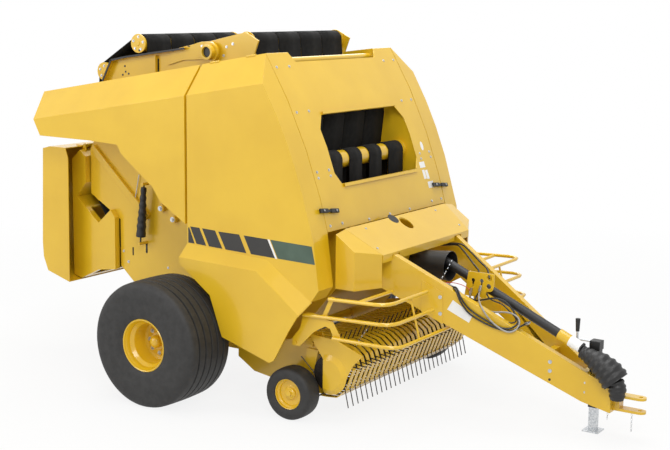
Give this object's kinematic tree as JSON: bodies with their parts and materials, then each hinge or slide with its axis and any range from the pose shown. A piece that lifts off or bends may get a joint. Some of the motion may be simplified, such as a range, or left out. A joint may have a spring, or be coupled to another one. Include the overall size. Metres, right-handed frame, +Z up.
{
  "type": "round baler",
  "caption": "Towed round baler with a tined pickup, hinged tailgate, net box, side panels, gauge wheels, tongue with jack and guarded driveline.",
  "frame": {"origin": "on the ground under the middle of the machine's bounding box", "axes": "+X to the hitch, +Y to the left side, +Z up"},
  "size_m": [5.372, 3.144, 2.974],
  "materials": {
    "yellow_paint": "glossy machine paint",
    "tyre_rubber": "moulded rubber",
    "belt_rubber": "woven-faced rubber belting",
    "black_plastic": "moulded guard plastic",
    "zinc_steel": "zinc plated",
    "dark_steel": "black spring steel"
  },
  "bodies": {
    "chassis": {"chassis_walls": "yellow_paint", "axle": "yellow_paint", "front_panel": "yellow_paint", "cross_tubes": "yellow_paint", "outriggers": "yellow_paint", "hood": "yellow_paint", "corner_covers": "yellow_paint", "tongue": "yellow_paint", "hitch_clevis": "yellow_paint", "jack_tube": "yellow_paint", "jack_crank": "zinc_steel", "gearbox": "yellow_paint", "driveline_bell": "black_plastic", "driveline_tube": "black_plastic", "driveline_sleeve": "yellow_paint", "driveline_boot": "black_plastic", "driveline_yoke": "zinc_steel", "hose_holder": "yellow_paint", "top_roller": "yellow_paint", "front_belts": "belt_rubber", "front_rollers": "yellow_paint", "pivot_ears": "yellow_paint", "panel_hinges": "yellow_paint"},
    "tailgate": {"tailgate_shells": "yellow_paint", "tailgate_walls": "yellow_paint", "tailgate_rollers": "yellow_paint", "tailgate_belts": "belt_rubber", "shell_arms": "yellow_paint", "tail_braces": "yellow_paint", "tail_springs": "black_plastic", "net_box": "yellow_paint"},
    "net_door": {"net_door": "yellow_paint"},
    "side_panel_right": {"side_panel_right": "yellow_paint", "side_flare_right": "yellow_paint"},
    "side_panel_left": {"side_panel_left": "yellow_paint", "side_flare_left": "yellow_paint"},
    "wheel_right": {"tyre_right": "tyre_rubber", "rim_right": "yellow_paint"},
    "wheel_left": {"tyre_left": "tyre_rubber", "rim_left": "yellow_paint"},
    "pickup": {"pickup_frame": "yellow_paint", "stripper_bands": "yellow_paint", "gauge_arms": "yellow_paint"},
    "wind_guard": {"wind_guard": "yellow_paint", "guard_brackets": "yellow_paint"},
    "reel": {"tine_reel": "dark_steel"},
    "gauge_wheel_right": {"gauge_tyre_right": "tyre_rubber", "gauge_rim_right": "yellow_paint"},
    "gauge_wheel_left": {"gauge_tyre_left": "tyre_rubber", "gauge_rim_left": "yellow_paint"},
    "jack_leg": {"jack_leg": "zinc_steel"}
  },
  "joints": [
    {"name": "tailgate_lift", "type": "hinge", "parent": "chassis", "child": "tailgate", "pos_m": [-0.862, 0, 2.797], "axis": [0, 1, 0], "range_deg": [0, 60]},
    {"name": "net_door_lid", "type": "hinge", "parent": "tailgate", "child": "net_door", "pos_m": [-2.344, 0, 1.925], "axis": [0, 1, 0], "range_deg": [0, 80]},
    {"name": "side_panel_right_lift", "type": "hinge", "parent": "chassis", "child": "side_panel_right", "pos_m": [-0.482, -0.937, 2.7572], "axis": [-0.9862, 0, -0.1657], "range_deg": [0, 65]},
    {"name": "side_panel_left_lift", "type": "hinge", "parent": "chassis", "child": "side_panel_left", "pos_m": [-0.482, 0.937, 2.7572], "axis": [0.9862, 0, 0.1657], "range_deg": [0, 65]},
    {"name": "wheel_right_spin", "type": "hinge", "parent": "chassis", "child": "wheel_right", "pos_m": [-0.882, -1.322, 0.512], "axis": [0, 1, 0], "continuous": true},
    {"name": "wheel_left_spin", "type": "hinge", "parent": "chassis", "child": "wheel_left", "pos_m": [-0.882, 1.322, 0.512], "axis": [0, 1, 0], "continuous": true},
    {"name": "pickup_lift", "type": "hinge", "parent": "chassis", "child": "pickup", "pos_m": [-0.362, 0, 0.42], "axis": [0, -1, 0], "range_deg": [0, 7]},
    {"name": "wind_guard_float", "type": "hinge", "parent": "pickup", "child": "wind_guard", "pos_m": [0.283, 0, 0.625], "axis": [0, -1, 0], "range_deg": [-13, 0]},
    {"name": "reel_spin", "type": "hinge", "parent": "pickup", "child": "reel", "pos_m": [0.508, 0, 0.375], "axis": [0, 1, 0], "continuous": true},
    {"name": "gauge_wheel_right_spin", "type": "hinge", "parent": "pickup", "child": "gauge_wheel_right", "pos_m": [0.231, -1.075, 0.209], "axis": [0, 1, 0], "continuous": true},
    {"name": "gauge_wheel_left_spin", "type": "hinge", "parent": "pickup", "child": "gauge_wheel_left", "pos_m": [0.231, 1.075, 0.209], "axis": [0, 1, 0], "continuous": true},
    {"name": "jack_slide", "type": "slide", "parent": "chassis", "child": "jack_leg", "axis": [0, 0, 1], "range_m": [0, 0.17]}
  ],
  "couplings": [
    {"joint": "wind_guard_float", "follows": "pickup_lift", "ratio": -1.8}
  ]
}
